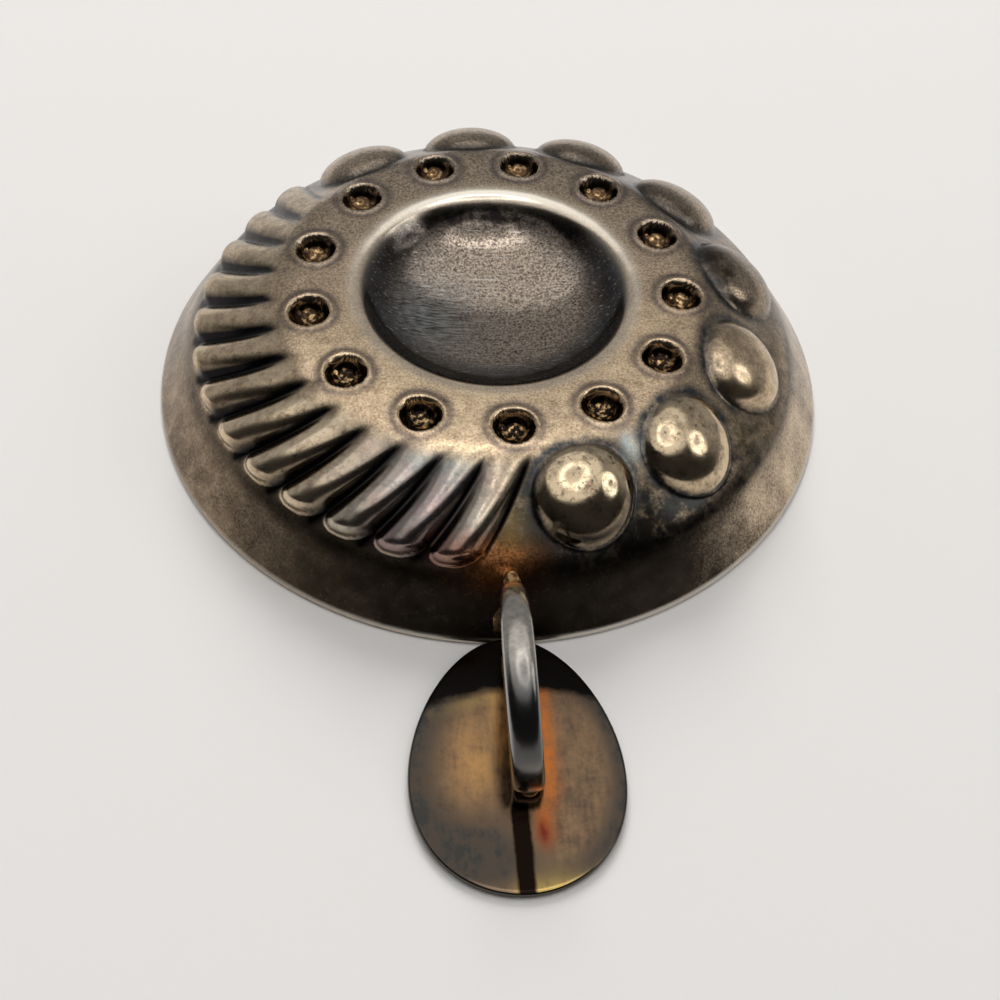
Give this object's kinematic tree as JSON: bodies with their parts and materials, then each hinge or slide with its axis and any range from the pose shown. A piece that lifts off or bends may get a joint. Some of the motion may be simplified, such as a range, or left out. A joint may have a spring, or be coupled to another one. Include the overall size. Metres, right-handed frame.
{
  "type": "tastevin",
  "caption": "Shallow round wine taster's cup with a dished centre, bosses on one side and flutes on the other, a soldered finger loop and an egg-shaped thumb plate.",
  "frame": {"origin": "centre of the rim circle, in the rim plane that the cup rests on", "axes": "+Z out of the bowl's back, -Y towards the handle, +X to the side with the bosses nearest the handle"},
  "size_m": [0.085, 0.1188, 0.0176],
  "materials": {
    "bowl_plate": "tarnished silver plate over brass",
    "strip_plate": "worn silver plate over brass",
    "thumb_plate": "heat-stained silver plate over brass",
    "solder": "lumpy hard solder"
  },
  "bodies": {
    "root": {"bowl": "bowl_plate", "ring_handle": "strip_plate", "thumb_plate": "thumb_plate", "wall_solder": "solder", "plate_solder": "solder"}
  },
  "joints": []
}
